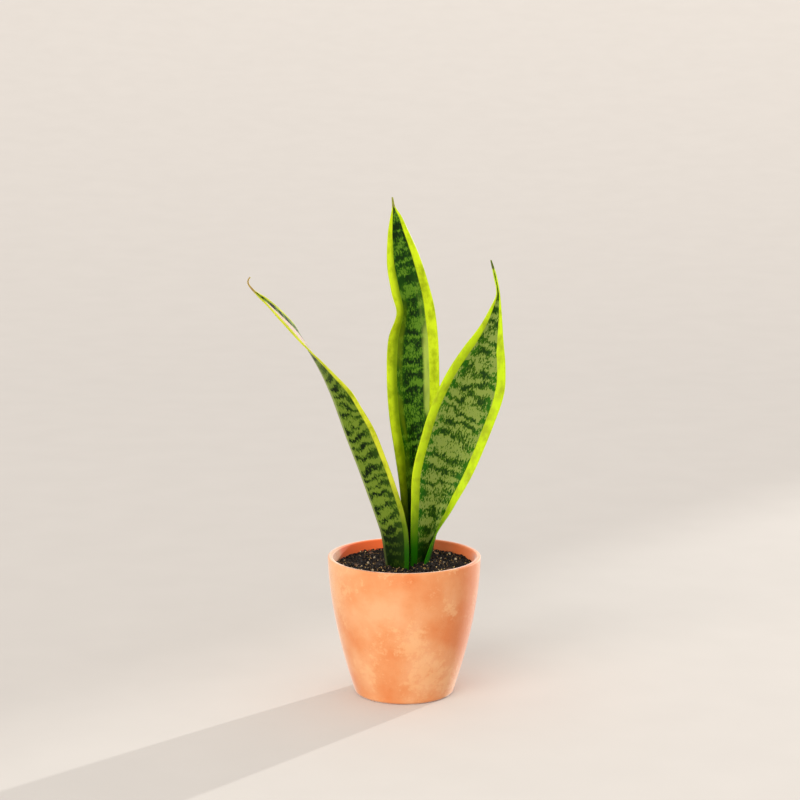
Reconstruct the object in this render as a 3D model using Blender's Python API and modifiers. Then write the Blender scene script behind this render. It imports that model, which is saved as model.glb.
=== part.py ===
"""Snake plant in a terracotta pot: turned pot, soil, rhizome with roots, and a rosette of three leaves.

Frame: metres, +Z up, origin at the middle of the pot's underside, which stands on z = 0.
-Y is the front, where the middle leaf shows its channelled inner face.
Run with: blender --background --python part.py
"""
import math
import random

import bmesh
import bpy
from mathutils import Matrix, Vector
from mathutils.bvhtree import BVHTree

MM = 0.001
FIT_GAP = 0.3 * MM            # left between pieces that touch
WELD = 0.01 * MM              # corners closer than this are one corner

# Pot: thin-walled, thrown and fired, wider at the rim, with a slightly bellied side.
POT_HEIGHT = 110 * MM
POT_RIM_RADIUS = 60 * MM
POT_FOOT_RADIUS = 38.5 * MM
POT_BELLY = 1.72              # 1 is a straight cone; more swells the side outwards
POT_WALL = 4 * MM
POT_BASE = 5 * MM
POT_LIP_EDGE = 1.3 * MM       # radius of both edges of the lip
POT_FOOT_EDGE = 3 * MM
POT_FLOOR_FILLET = 7 * MM
DRAIN_RADIUS = 5 * MM
DRAIN_RING_RADIUS = 18 * MM
DRAIN_COUNT = 3
DRAIN_FIRST_BEARING = math.radians(94)

# Potting soil
SOIL_BELOW_RIM = 8.5 * MM
SOIL_WAVE = 1.4 * MM          # how far the surface rises and dips
SOIL_WAVE_LENGTH = 21 * MM

# Leaves: the widths and places in the leaf tables are for this width and this height.
LEAF_WIDTH = 50 * MM          # of the widest leaf, laid flat
PLANT_HEIGHT = 290 * MM       # tallest leaf above the soil
DRAWN_WIDTH = 50
DRAWN_HEIGHT = 290
LEAF_THICKNESS = 3.4 * MM     # along the midrib of a full-width leaf
MARGIN_THICKNESS = 1.0 * MM
LEAF_BURIED = 26 * MM         # from the soil's surface down to the leaf's seat on the rhizome

# Rhizome and roots
CROWN_RADIUS = 17 * MM
CROWN_PLACE = (4 * MM, 4 * MM)
RHIZOME_RADIUS = 9 * MM
RHIZOME_LENGTH = 42 * MM      # from the crown's middle to the growing tip
RHIZOME_BEARING = math.radians(155)
ROOT_RADIUS = 1.7 * MM
ROOT_TIP_RADIUS = 0.8 * MM
ROOT_SPANS = 6                # straight runs along one root
ROOT_DEPTH = 30 * MM          # of the root tips below the rhizome
ROOT_REACH = 0.72             # share of the way from the pot's axis to its wall
ROOT_DROPS = (35, 45, 55)     # degrees below level at which each pair of roots sets out, from the crown on
ROOT_SWINGS = (100, 62, 24)   # degrees each pair's tips swing away from the rhizome's own bearing
ROOT_CHANNEL_GAP = 1.6 * FIT_GAP   # a root's flat sides bend, so it needs more room than a plain fit

# Loose pieces that lie on the soil
GRIT_SIZE = 2.6 * MM
GRIT_COUNT = 10
BARK_SIZE = (7 * MM, 4.2 * MM, 2.4 * MM)
BARK_COUNT = 6
SPLINTER_LENGTH = 20 * MM
SPLINTER_RADIUS = 0.8 * MM
ROSETTE_REACH = 27 * MM       # circle around the leaf bases that loose pieces keep out of
WALL_MARGIN = 7 * MM          # kept between the pot's wall and a loose piece's middle

TURN_STEPS = 48               # facets round the pot and the soil
RHIZOME_STEPS = 18

SOIL_LEVEL = POT_HEIGHT - SOIL_BELOW_RIM
CROWN_TOP = SOIL_LEVEL - LEAF_BURIED
CROWN_HEIGHT = RHIZOME_RADIUS           # the rod's top is level with the crown's
ROD_LEVEL = CROWN_TOP - CROWN_HEIGHT
ABOVE_SOIL = 20 * MM                    # clear of every lump, where loose pieces start from
SPREAD = LEAF_WIDTH / DRAWN_WIDTH       # metres to one table unit, across
STRETCH = PLANT_HEIGHT / DRAWN_HEIGHT   # metres to one table unit, upwards

# One row is one station of a leaf, from its seat to its tip:
# midrib x, y and height above the soil, then width and bearing of the left and the right half.
# A bearing is how a half leaves the midrib, in degrees: 0 to the right, -90 to the front, 180 to the left.
# The seat's height is set by LEAF_BURIED.
LEAF_LEFT = [
    (-9, -1, None, 15, -40, 11, 38),
    (-14.3, -2, 0, 22, -36, 14, 34),
    (-18, 0, 24, 25.5, -34, 17, 36),
    (-22, 1, 37, 27, -32, 20, 42),
    (-30, 2, 60, 27.5, -30, 23, 48),
    (-36, 2, 77, 27.5, -30, 24, 50),
    (-45.7, 2, 103, 27, -30, 24, 52),
    (-51.5, 2, 120, 24.5, -35, 22, 60),
    (-56.8, 1, 135, 22.6, -42, 20, 68),
    (-65.6, 0, 155, 18.5, -63, 17, 83),
    (-76.6, 0, 174, 15, -84, 14.5, 97),
    (-85.7, -1, 187, 11.5, -96, 11.5, 84),
    (-95.6, -2, 198, 8, -101, 8, 76),
    (-105.4, -3, 208, 4, -105, 4, 62),
    (-113.4, -3, 215, 1.2, -120, 1.2, 30),
    (-118, -3, 220, 0.7, -125, 0.7, 20),
    (-120, -3, 223.5, 0.6, -125, 0.6, 20),
    (-119.6, -3, 226.3, 0.55, -125, 0.55, 20),
    (-118.2, -3, 228.2, 0.5, -125, 0.5, 20),
]
LEAF_MIDDLE = [
    (8, 17.5, None, 8, -140, 8, -40),
    (8.6, 20, 0, 12.2, -138, 12.2, -42),
    (9.3, 20, 24, 12.8, -145, 12.8, -35),
    (9.7, 20, 58, 15.2, -150, 15.2, -30),
    (9.3, 20, 92, 19.4, -153, 19.4, -27),
    (7.6, 19, 121, 21.6, -155, 21.6, -25),
    (6.8, 18, 149, 22.3, -156, 22.3, -24),
    (6.4, 17, 178, 20.5, -157, 21.3, -22),
    (5.6, 16, 201, 18, -131, 19, -20),
    (3.6, 15, 218, 16, -150, 16.3, -18),
    (-0.6, 14, 239, 13.4, -165, 13.4, -15),
    (-4.5, 13, 258, 8.7, -167, 9.2, -13),
    (-6.4, 12, 272, 4.8, -165, 4.8, -15),
    (-8.2, 12, 280.5, 1.3, -160, 1.3, -20),
    (-9.2, 12, 288, 0.6, -160, 0.6, -20),
]
LEAF_RIGHT = [
    (15, 6, None, 14, -140, 9, -100),
    (19.5, 8, 0, 20.4, -139, 12.5, -106),
    (22.7, 9, 14.5, 24.4, -139, 13.2, -100),
    (25, 9.5, 30, 26.9, -139, 13.7, -80),
    (28.1, 9.5, 48, 29.4, -142, 15, -47),
    (32.7, 9, 71, 31.7, -148, 19.5, -24),
    (39.6, 7.5, 94, 31.7, -153, 22.3, -20),
    (46.5, 6, 121, 29.5, -156, 25.4, -18),
    (54.1, 4.5, 146, 25, -158, 25.2, -15),
    (60.9, 3.5, 167, 18.7, -158, 18.6, -16),
    (66.9, 2.5, 186, 11.5, -154, 10, -20),
    (70.6, 1.5, 203, 5.5, -153, 4.4, -20),
    (72, 1, 215, 1.7, -150, 1.7, -30),
    (69.5, 0, 229, 1.4, -150, 1.4, -30),
    (66.3, -1, 241, 0.6, -150, 0.6, -30),
]
FULL_HALF_WIDTH = 25          # half width, in table units, that has the whole LEAF_THICKNESS
THINNING = 0.8                # how fast a narrower station gets thinner
KEEL_SOFTNESS = 0.35          # 0 is a sharp fold at the midrib
LEAST_FOLD = 0.55             # sine of half a fold, below which the keel gets no thicker
LEAST_CORNER = 0.4            # limits how far a sharp corner of a section is pushed out
RHIZOME_RINGS = 4
RING_DEPTH = 0.05             # of the rhizome's leaf scars, as a share of its radius
SECTION_SHARES = (-1, -0.75, -0.45, -0.2, 0, 0.2, 0.45, 0.75, 1)
LONGEST_ROW = 14 * MM


def clear_scene():
    for thing in list(bpy.data.objects):
        bpy.data.objects.remove(thing, do_unlink=True)


def new_collection(name):
    group = bpy.data.collections.new(name)
    bpy.context.scene.collection.children.link(group)
    return group


def hex_to_linear(code):
    shares = [int(code[i:i + 2], 16) / 255 for i in (0, 2, 4)]
    return [c / 12.92 if c <= 0.04045 else ((c + 0.055) / 1.055) ** 2.4 for c in shares]


def finish_material(name, code, roughness):
    material = bpy.data.materials.new(name)
    material.use_nodes = True
    shader = material.node_tree.nodes["Principled BSDF"]
    shader.inputs["Base Color"].default_value = (*hex_to_linear(code), 1)
    shader.inputs["Roughness"].default_value = roughness
    shader.inputs["Metallic"].default_value = 0
    return material


def add_object(name, mesh, material=None, group=None):
    thing = bpy.data.objects.new(name, mesh)
    (group or plant).objects.link(thing)
    if material:
        mesh.materials.clear()
        mesh.materials.append(material)
    return thing


def hide_cutter(thing):
    thing.hide_render = True
    thing.display_type = 'WIRE'
    return thing


def arc(centre_x, centre_z, radius, start, end, count):
    turns = [math.radians(start + (end - start) * i / (count - 1)) for i in range(count)]
    return [(centre_x + radius * math.cos(a), centre_z + radius * math.sin(a)) for a in turns]


def turned(name, profile, material=None, group=None):
    """Turn a profile of (radius, z) points about Z; the profile runs down its outer side."""
    mesh = bpy.data.meshes.new(name)
    mesh.from_pydata([(x, 0, z) for x, z in profile], [(i, i + 1) for i in range(len(profile) - 1)], [])
    thing = add_object(name, mesh, material, group)
    screw = thing.modifiers.new("turn", 'SCREW')
    screw.steps = screw.render_steps = TURN_STEPS
    screw.use_merge_vertices = True
    screw.merge_threshold = WELD
    return thing


def baked(thing):
    """Give an object its evaluated mesh in world space, with welded corners and no live modifiers."""
    bpy.context.view_layer.update()
    evaluated = thing.evaluated_get(bpy.context.evaluated_depsgraph_get())
    mesh = bpy.data.meshes.new_from_object(evaluated)
    mesh.transform(thing.matrix_world)
    shape = bmesh.new()
    shape.from_mesh(mesh)
    bmesh.ops.remove_doubles(shape, verts=shape.verts, dist=WELD)
    bmesh.ops.recalc_face_normals(shape, faces=shape.faces)
    shape.to_mesh(mesh)
    shape.free()
    name, groups = thing.name, thing.users_collection
    material = thing.active_material
    bpy.data.objects.remove(thing, do_unlink=True)
    return add_object(name, mesh, material, groups[0])


def boolean(thing, cutter, operation='DIFFERENCE'):
    step = thing.modifiers.new(operation.lower(), 'BOOLEAN')
    step.operation = operation
    step.solver = 'EXACT'
    step.object = cutter


# ---- pot

def pot_radius(z):
    rise = min(max(z / POT_HEIGHT, 0), 1)
    return POT_FOOT_RADIUS + (POT_RIM_RADIUS - POT_FOOT_RADIUS) * (1 - (1 - rise) ** POT_BELLY)


def cavity_profile(gap):
    """Inner wall from the rim's height down, floor fillet and floor, drawn in by the gap."""
    top, bottom, steps = POT_HEIGHT - POT_LIP_EDGE, POT_BASE + POT_FLOOR_FILLET, 6
    wall = []
    for i in range(steps):
        z = top + (bottom - top) * i / steps
        wall.append((pot_radius(z) - POT_WALL - gap, z))
    fillet_x = pot_radius(bottom) - POT_WALL - POT_FLOOR_FILLET
    return wall + arc(fillet_x, bottom, POT_FLOOR_FILLET - gap, 0, -90, 4)


def make_pot():
    clay = finish_material("terracotta", "E9A076", 0.8)
    rim = POT_RIM_RADIUS
    inner_lip = arc(rim - POT_WALL + POT_LIP_EDGE, POT_HEIGHT - POT_LIP_EDGE, POT_LIP_EDGE, 180, 90, 3)
    outer_lip = arc(rim - POT_LIP_EDGE, POT_HEIGHT - POT_LIP_EDGE, POT_LIP_EDGE, 90, 0, 3)
    steps = 8
    side = []
    for i in range(1, steps):
        z = POT_HEIGHT - POT_LIP_EDGE + (POT_FOOT_EDGE * 1.2 - POT_HEIGHT + POT_LIP_EDGE) * i / steps
        side.append((pot_radius(z), z))
    foot_x = pot_radius(POT_FOOT_EDGE) - POT_FOOT_EDGE
    foot = arc(foot_x, POT_FOOT_EDGE, POT_FOOT_EDGE, 0, -90, 3)
    cavity = list(reversed(cavity_profile(0)))[:-1]
    profile = [(0, POT_BASE)] + cavity + inner_lip + outer_lip + side + foot + [(0, 0)]
    pot = baked(turned("pot", profile, clay))
    for i in range(DRAIN_COUNT):
        turn = DRAIN_FIRST_BEARING + 2 * math.pi * i / DRAIN_COUNT
        bpy.ops.mesh.primitive_cylinder_add(
            vertices=20, radius=DRAIN_RADIUS, depth=3 * POT_BASE,
            location=(DRAIN_RING_RADIUS * math.cos(turn), DRAIN_RING_RADIUS * math.sin(turn), POT_BASE / 2))
        drill = move_to(hide_cutter(bpy.context.object), cutters)
        drill.name = f"drain_drill_{i + 1}"
        boolean(pot, drill)
    return pot


def move_to(thing, group):
    for old in list(thing.users_collection):
        old.objects.unlink(thing)
    group.objects.link(thing)
    return thing


# ---- leaves

def leaf_table(rows):
    """Stations in metres, with the seat's height filled in."""
    table = []
    for x, y, height, left, left_turn, right, right_turn in rows:
        z = CROWN_TOP + FIT_GAP if height is None else SOIL_LEVEL + height * STRETCH
        table.append((x * SPREAD, y * SPREAD, z, left * SPREAD, left_turn, right * SPREAD, right_turn))
    return table


def smooth_rows(table):
    """Rows along the leaf, through every station, on a smooth curve, none longer than LONGEST_ROW."""
    places = [Vector(row[:3]) for row in table]
    run = [0.0]
    for a, b in zip(places, places[1:]):
        run.append(run[-1] + (b - a).length)
    last = len(table) - 1
    slopes = []
    for i in range(last + 1):
        low, high = max(i - 1, 0), min(i + 1, last)
        slopes.append([(table[high][k] - table[low][k]) / (run[high] - run[low]) for k in range(7)])
    rows = []
    for i in range(last):
        length = run[i + 1] - run[i]
        count = max(1, math.ceil(length / LONGEST_ROW - 0.2))
        for j in range(count):
            t = j / count
            start, end = (1 + 2 * t) * (1 - t) ** 2, t * t * (3 - 2 * t)
            leave, arrive = t * (1 - t) ** 2 * length, t * t * (t - 1) * length
            rows.append([start * table[i][k] + end * table[i + 1][k] + leave * slopes[i][k]
                         + arrive * slopes[i + 1][k] for k in range(7)])
    rows.append(list(table[-1]))
    return rows


def section_points(row, along, level):
    """Outer then inner points of one section: a soft V whose halves taper from the keel to the margins."""
    place = Vector(row[:3])
    if level:
        along = Vector((0, 0, 1))
    back = (Vector((0, 1, 0)) - along * along.y).normalized()
    right = back.cross(along)
    left_turn, right_turn = math.radians(row[4]), math.radians(row[6])
    to_left = right * math.cos(left_turn) + back * math.sin(left_turn)
    to_right = right * math.cos(right_turn) + back * math.sin(right_turn)
    half_fold = max(abs(right_turn - left_turn) / 2, 0.01)
    middle_turn = (right_turn + left_turn) / 2
    inward = right * math.cos(middle_turn) + back * math.sin(middle_turn)
    width = (row[3] + row[5]) / 2
    share = min(1, width / (FULL_HALF_WIDTH * SPREAD)) ** THINNING
    edge = min(MARGIN_THICKNESS, 0.9 * width)
    thick = max(edge, LEAF_THICKNESS * share) / max(math.sin(half_fold), LEAST_FOLD)
    keel_in = place + inward * thick
    outer_ends = (place + to_left * row[3], place + to_right * row[5])
    inner_ends = (outer_ends[0] + (inward - to_left * inward.dot(to_left)).normalized() * edge,
                  outer_ends[1] + (inward - to_right * inward.dot(to_right)).normalized() * edge)
    points = []
    for keel, ends, order in ((place, outer_ends, 1), (keel_in, inner_ends, -1)):
        across = (ends[1] - ends[0]) / 2
        rise = (ends[1] + ends[0]) / 2 - keel
        full = math.hypot(1, KEEL_SOFTNESS) - KEEL_SOFTNESS
        for s in SECTION_SHARES[::order]:
            bend = (math.hypot(s, KEEL_SOFTNESS) - KEEL_SOFTNESS) / full
            points.append(keel + across * s + rise * bend)
    return points


def swell(points, distance):
    """Move a ring of points outwards by a distance, square to its own sides."""
    count = len(points)
    middle_normal = sum(((points[i] - points[0]).cross(points[(i + 1) % count] - points[0])
                         for i in range(1, count - 1)), Vector())
    middle_normal.normalize()
    moved = []
    for i, point in enumerate(points):
        before = (point - points[i - 1]).normalized().cross(middle_normal)
        after = (points[(i + 1) % count] - point).normalized().cross(middle_normal)
        out = (before + after).normalized()
        moved.append(point + out * distance / max(out.dot(before), LEAST_CORNER))
    return moved


def loft(name, rings, material=None, group=None):
    """Close a row of rings, each an outer and an inner half, into one solid."""
    shape = bmesh.new()
    loops = [[shape.verts.new(point) for point in ring] for ring in rings]
    count = len(loops[0])
    for low, high in zip(loops, loops[1:]):
        for i in range(count):
            j = (i + 1) % count
            shape.faces.new((low[i], low[j], high[j], high[i]))
    for end in (loops[0], loops[-1]):
        for i in range(count // 2 - 1):
            shape.faces.new((end[i], end[i + 1], end[count - 2 - i], end[count - 1 - i]))
    bmesh.ops.recalc_face_normals(shape, faces=shape.faces)
    mesh = bpy.data.meshes.new(name)
    shape.to_mesh(mesh)
    shape.free()
    for face in mesh.polygons:
        face.use_smooth = True
    return add_object(name, mesh, material, group)


def leaf_rings(table):
    rows = smooth_rows(table)
    places = [Vector(row[:3]) for row in rows]
    rings = []
    for i, row in enumerate(rows):
        along = (places[min(i + 1, len(rows) - 1)] - places[max(i - 1, 0)]).normalized()
        rings.append(section_points(row, along, level=(i == 0)))
    return rings


def make_leaf(name, stations):
    rings = leaf_rings(leaf_table(stations))
    leaf = loft(name, rings, finish_material(name + "_skin", "4E7A24", 0.42))
    top = next(i for i, ring in enumerate(rings) if min(point.z for point in ring) > SOIL_LEVEL + 2 * SOIL_WAVE)
    socket = [swell(ring, FIT_GAP) for ring in rings[:top + 1]]
    socket.insert(0, [point - Vector((0, 0, 3 * FIT_GAP)) for point in socket[0]])
    hide_cutter(loft(name + "_socket", socket, group=cutters))
    return leaf


# ---- rhizome and roots

def rhizome_shape(name, gap, material=None, group=None):
    """Ringed rod lying in the soil, with a flat-topped crown that the leaves sit on."""
    radius, length = RHIZOME_RADIUS + gap, RHIZOME_LENGTH + gap
    steps = 3 * RHIZOME_RINGS
    dip = RING_DEPTH * RHIZOME_RADIUS
    rod = [(0, length)] + arc(0, length - radius, radius, 70, 20, 3)
    for i in range(steps + 1):
        z = (length - radius) * (1 - i / steps)
        rod.append((radius - dip + dip * math.cos(2 * math.pi * i / 3), z))
    rod += arc(0, 0, radius, -30, -70, 2) + [(0, -radius)]
    body = turned(name, rod, material, group)
    body.modifiers["turn"].steps = body.modifiers["turn"].render_steps = RHIZOME_STEPS
    lie_down = Matrix.Rotation(RHIZOME_BEARING, 4, 'Z') @ Matrix.Rotation(math.pi / 2, 4, 'Y')
    body.matrix_world = Matrix.Translation((*CROWN_PLACE, ROD_LEVEL)) @ lie_down
    crown_radius, top = CROWN_RADIUS + gap, CROWN_TOP + gap
    low = ROD_LEVEL - gap
    crown = turned(name + "_crown", [(0, top), (crown_radius, top), (crown_radius, top - CROWN_HEIGHT / 3),
                                     (crown_radius * 0.8, low), (0, low)], None, cutters)
    crown.location = (*CROWN_PLACE, 0)
    crown.modifiers["turn"].steps = crown.modifiers["turn"].render_steps = RHIZOME_STEPS
    body, crown = baked(body), hide_cutter(baked(crown))
    boolean(body, crown, 'UNION')
    return baked(body)


def root_points(index):
    """A root leaves the rod square to it, then bends down and out towards the wall."""
    pair, side = index // 2, (1 if index % 2 else -1)
    reach = RHIZOME_LENGTH - RHIZOME_RADIUS
    first = CROWN_RADIUS + 2 * ROOT_RADIUS
    spot = first + (reach - first) * pair / (len(ROOT_DROPS) - 1)
    axis = Vector((math.cos(RHIZOME_BEARING), math.sin(RHIZOME_BEARING), 0))
    start_middle = Vector((*CROWN_PLACE, ROD_LEVEL)) + axis * spot
    square = axis.cross(Vector((0, 0, 1))) * side
    drop = math.radians(ROOT_DROPS[pair])
    out = square * math.cos(drop) - Vector((0, 0, 1)) * math.sin(drop)
    start = start_middle + out * (RHIZOME_RADIUS + FIT_GAP)
    end_z = max(ROD_LEVEL - ROOT_DEPTH, POT_BASE + POT_FLOOR_FILLET)
    bearing = RHIZOME_BEARING - side * math.radians(ROOT_SWINGS[pair])
    limit = (pot_radius(end_z) - POT_WALL) * ROOT_REACH
    end = Vector((limit * math.cos(bearing), limit * math.sin(bearing), end_z))
    bend = start + out * (end - start).length * 0.45
    points = []
    for i in range(ROOT_SPANS + 1):
        t = i / ROOT_SPANS
        points.append(start * (1 - t) ** 2 + bend * 2 * t * (1 - t) + end * t * t)
    return points, out


def root_tube(name, points, radii, material=None, group=None):
    curve = bpy.data.curves.new(name, 'CURVE')
    curve.dimensions = '3D'
    curve.bevel_depth = 1
    curve.bevel_resolution = 1
    curve.use_fill_caps = True
    line = curve.splines.new('POLY')
    line.points.add(len(points) - 1)
    for spot, place, radius in zip(line.points, points, radii):
        spot.co = (*place, 1)
        spot.radius = radius
    thing = bpy.data.objects.new(name, curve)
    (group or plant).objects.link(thing)
    tube = baked(thing)
    if material:
        tube.data.materials.append(material)
    return tube


def make_roots():
    skin = finish_material("root_skin", "C9A067", 0.75)
    for i in range(2 * len(ROOT_DROPS)):
        points, out = root_points(i)
        last = len(points) - 1
        radii = [ROOT_RADIUS + (ROOT_TIP_RADIUS - ROOT_RADIUS) * k / last for k in range(last + 1)]
        root_tube(f"root_{i + 1}", points, radii, skin)
        longer = [points[0] - out * 2 * MM] + points + [points[-1] + (points[-1] - points[-2]).normalized() * FIT_GAP]
        wider = [r + ROOT_CHANNEL_GAP for r in [radii[0]] + radii + [radii[-1]]]
        hide_cutter(root_tube(f"root_{i + 1}_channel", longer, wider, group=cutters))


# ---- soil

def soil_height(x, y):
    a, b = x / SOIL_WAVE_LENGTH, y / SOIL_WAVE_LENGTH
    wave = math.sin(1.3 * a + 0.6) * math.cos(1.1 * b - 0.4) + 0.5 * math.sin(2.3 * b + 1.7 * a)
    return SOIL_LEVEL + SOIL_WAVE * 0.6 * wave


def make_soil():
    earth = finish_material("potting_soil", "1E1712", 0.95)
    side = [(r, z) for r, z in cavity_profile(FIT_GAP) if z < SOIL_LEVEL - SOIL_WAVE * 2]
    edge = (pot_radius(SOIL_LEVEL) - POT_WALL - FIT_GAP, SOIL_LEVEL)
    rings = 5
    top = [(edge[0] * i / rings, SOIL_LEVEL) for i in range(rings)]
    soil = turned("soil", top + [edge] + side + [(0, POT_BASE + FIT_GAP)], earth)
    soil = baked(soil)
    for corner in soil.data.vertices:
        if corner.co.z > SOIL_LEVEL - MM / 100:
            corner.co.z = soil_height(corner.co.x, corner.co.y)
            # the wall leans, so the edge follows it as the surface rises and dips
            reach = math.hypot(corner.co.x, corner.co.y)
            if reach > edge[0] * 0.97:
                grow = (pot_radius(corner.co.z) - POT_WALL - FIT_GAP) / reach
                corner.co.x *= grow
                corner.co.y *= grow
    flat = bmesh.new()          # the waved faces aren't plane, so they are split before they are cut
    flat.from_mesh(soil.data)
    bmesh.ops.triangulate(flat, faces=flat.faces)
    flat.to_mesh(soil.data)
    flat.free()
    rhizome_room = hide_cutter(rhizome_shape("rhizome_room", FIT_GAP, group=cutters))
    boolean(soil, rhizome_room)
    for cutter in list(cutters.objects):
        if cutter.name.endswith(("_socket", "_channel")):
            boolean(soil, cutter)
    return baked(soil)


# ---- loose pieces on the soil

def rest_on_soil(thing, soil):
    """Lower a piece until its lowest clearance to the soil is FIT_GAP, measured both ways."""
    ground = BVHTree.FromPolygons([v.co for v in soil.data.vertices], [f.vertices for f in soil.data.polygons])
    piece = BVHTree.FromPolygons([v.co for v in thing.data.vertices], [f.vertices for f in thing.data.polygons])
    down, up = Vector((0, 0, -1)), Vector((0, 0, 1))
    drops = []
    for corner in thing.data.vertices:
        hit = ground.ray_cast(corner.co + up * ABOVE_SOIL, down)
        if hit[0]:
            drops.append(corner.co.z - hit[0].z)
    for corner in soil.data.vertices:
        hit = piece.ray_cast(corner.co, up)
        if hit[0]:
            drops.append(hit[0].z - corner.co.z)
    thing.data.transform(Matrix.Translation((0, 0, FIT_GAP * 1.3 - min(drops))))
    return thing


def spot_on_soil(bearing, share):
    """A place between the leaf bases (share 0) and the wall (share 1)."""
    edge = pot_radius(SOIL_LEVEL) - POT_WALL - WALL_MARGIN
    reach = ROSETTE_REACH + (edge - ROSETTE_REACH) * share
    return reach * math.cos(math.radians(bearing)), reach * math.sin(math.radians(bearing))


def pebble(name, place, size, squash, draw, material):
    bpy.ops.mesh.primitive_ico_sphere_add(subdivisions=1, radius=1, location=(0, 0, 0))
    thing = move_to(bpy.context.object, plant)
    thing.name = name
    thing.data.materials.append(material)
    for corner in thing.data.vertices:
        corner.co *= draw.uniform(0.85, 1.1)
    scale = Matrix.Diagonal((*(s * k / 2 for s, k in zip(size, squash)), 1))
    thing.data.transform(Matrix.Translation((*place, SOIL_LEVEL + ABOVE_SOIL))
                         @ Matrix.Rotation(draw.uniform(0, 2 * math.pi), 4, 'Z') @ scale)
    return thing


def make_loose_pieces(soil):
    draw = random.Random(7)
    perlite = finish_material("pale_grit", "E6DFD2", 0.85)
    bark = finish_material("bark", "5A3B22", 0.9)
    wood = finish_material("split_wood", "B98B57", 0.8)
    # bearing from the right, in degrees, and share of the way out to the wall
    grit_spots = [(139, 0.2), (168, 0.1), (200, 0.75), (225, 0.35), (84, 0.35), (42, 1.0), (20, 0.75),
                  (28, 0.3), (4, 0.2), (300, 0.5)]
    for i, (bearing, share) in enumerate(grit_spots[:GRIT_COUNT]):
        squash = [draw.uniform(0.8, 1.2) for _ in range(3)]
        place = spot_on_soil(bearing, share)
        rest_on_soil(pebble(f"grit_{i + 1:02d}", place, [GRIT_SIZE] * 3, squash, draw, perlite), soil)
    bark_spots = [(128, 0.75), (183, 0.5), (250, 0.3), (330, 0.6), (75, 0.9), (100, 0.5)]
    for i, (bearing, share) in enumerate(bark_spots[:BARK_COUNT]):
        squash = [draw.uniform(0.75, 1.1) for _ in range(3)]
        place = spot_on_soil(bearing, share)
        rest_on_soil(pebble(f"bark_chip_{i + 1}", place, BARK_SIZE, squash, draw, bark), soil)
    splinter_spots = [((62, 0.95), 118, 1.0), ((186, 0.95), 95, 0.6)]
    for i, ((bearing, share), lie, length_share) in enumerate(splinter_spots):
        x, y = spot_on_soil(bearing, share)
        half = SPLINTER_LENGTH * length_share / 2
        dx, dy = half * math.cos(math.radians(lie)), half * math.sin(math.radians(lie))
        ends = [Vector((x + dx * k, y + dy * k, SOIL_LEVEL + ABOVE_SOIL)) for k in (-1, 0, 1)]
        radii = [SPLINTER_RADIUS * k for k in (0.7, 1, 0.5)]
        rest_on_soil(root_tube(f"splinter_{i + 1}", ends, radii, wood), soil)


clear_scene()
plant = new_collection("potted_snake_plant")
cutters = new_collection("cutters")
make_pot()
rhizome_shape("rhizome", 0, finish_material("rhizome_skin", "D08B4C", 0.7))
make_roots()
make_leaf("leaf_left", LEAF_LEFT)
make_leaf("leaf_middle", LEAF_MIDDLE)
make_leaf("leaf_right", LEAF_RIGHT)
potting_soil = make_soil()
make_loose_pieces(potting_soil)
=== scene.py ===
import math
import random

import bmesh
import bpy
from mathutils import Matrix, Vector, noise


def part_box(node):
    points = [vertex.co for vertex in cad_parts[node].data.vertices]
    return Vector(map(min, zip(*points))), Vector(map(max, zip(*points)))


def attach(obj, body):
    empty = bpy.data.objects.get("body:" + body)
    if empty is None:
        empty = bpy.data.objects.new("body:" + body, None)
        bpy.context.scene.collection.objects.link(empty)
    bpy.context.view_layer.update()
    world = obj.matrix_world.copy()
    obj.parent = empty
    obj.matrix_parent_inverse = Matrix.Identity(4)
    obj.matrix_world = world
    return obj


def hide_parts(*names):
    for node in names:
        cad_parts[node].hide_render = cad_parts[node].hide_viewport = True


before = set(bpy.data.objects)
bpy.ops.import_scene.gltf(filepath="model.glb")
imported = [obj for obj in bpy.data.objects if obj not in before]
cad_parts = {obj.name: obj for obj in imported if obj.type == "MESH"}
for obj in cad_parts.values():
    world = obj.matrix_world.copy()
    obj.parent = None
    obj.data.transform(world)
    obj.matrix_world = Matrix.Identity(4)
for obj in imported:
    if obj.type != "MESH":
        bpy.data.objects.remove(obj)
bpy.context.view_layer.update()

bpy.ops.object.select_all(action='DESELECT')


# ---- Studio: a matt, pale painted floor that sweeps gently up into a backdrop, out of the lamps' way.
# A low, small lamp far behind on the right shines through the leaf margins, and a flag board beside
# it leaves the floor behind the plant in soft shade. A big soft lamp in front lights the pot's face.
MM = 0.001
CAMERA_PLACE = (-0.00333, -1.6954, 0.5324)
CAMERA_TILT = math.radians(80)          # 10 degrees down
CAMERA_LENS = 100
FLOOR_RADIUS = 1.6
FLOOR_SIDES = 96
SWEEP_RADIUS = 10
SWEEP_STEPS = 72
BACKDROP_TOP = 20
LAMPS = (          # name, the way its light travels, strength, degrees across, colour
    ("low_lamp", (-0.6515, -0.7364, -0.1822), 3.0, 0.9, "FFFEFA"),
    ("soft_lamp", (0.42, 0.8, -0.43), 2.4, 50, "FFF8F0"))
FLAG_EDGE = (6.877, 8)                  # x and y of its upright edge
FLAG_SIZE = (21, 3.2)
ROOM_COLOUR = "F8F5F3"
ROOM_STRENGTH = 0.96


def linear(code):
    """An sRGB hex colour as linear red, green, blue and alpha."""
    shares = [int(code[i:i + 2], 16) / 255 for i in (0, 2, 4)]
    return (*(c / 12.92 if c <= 0.04045 else ((c + 0.055) / 1.055) ** 2.4 for c in shares), 1)


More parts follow.
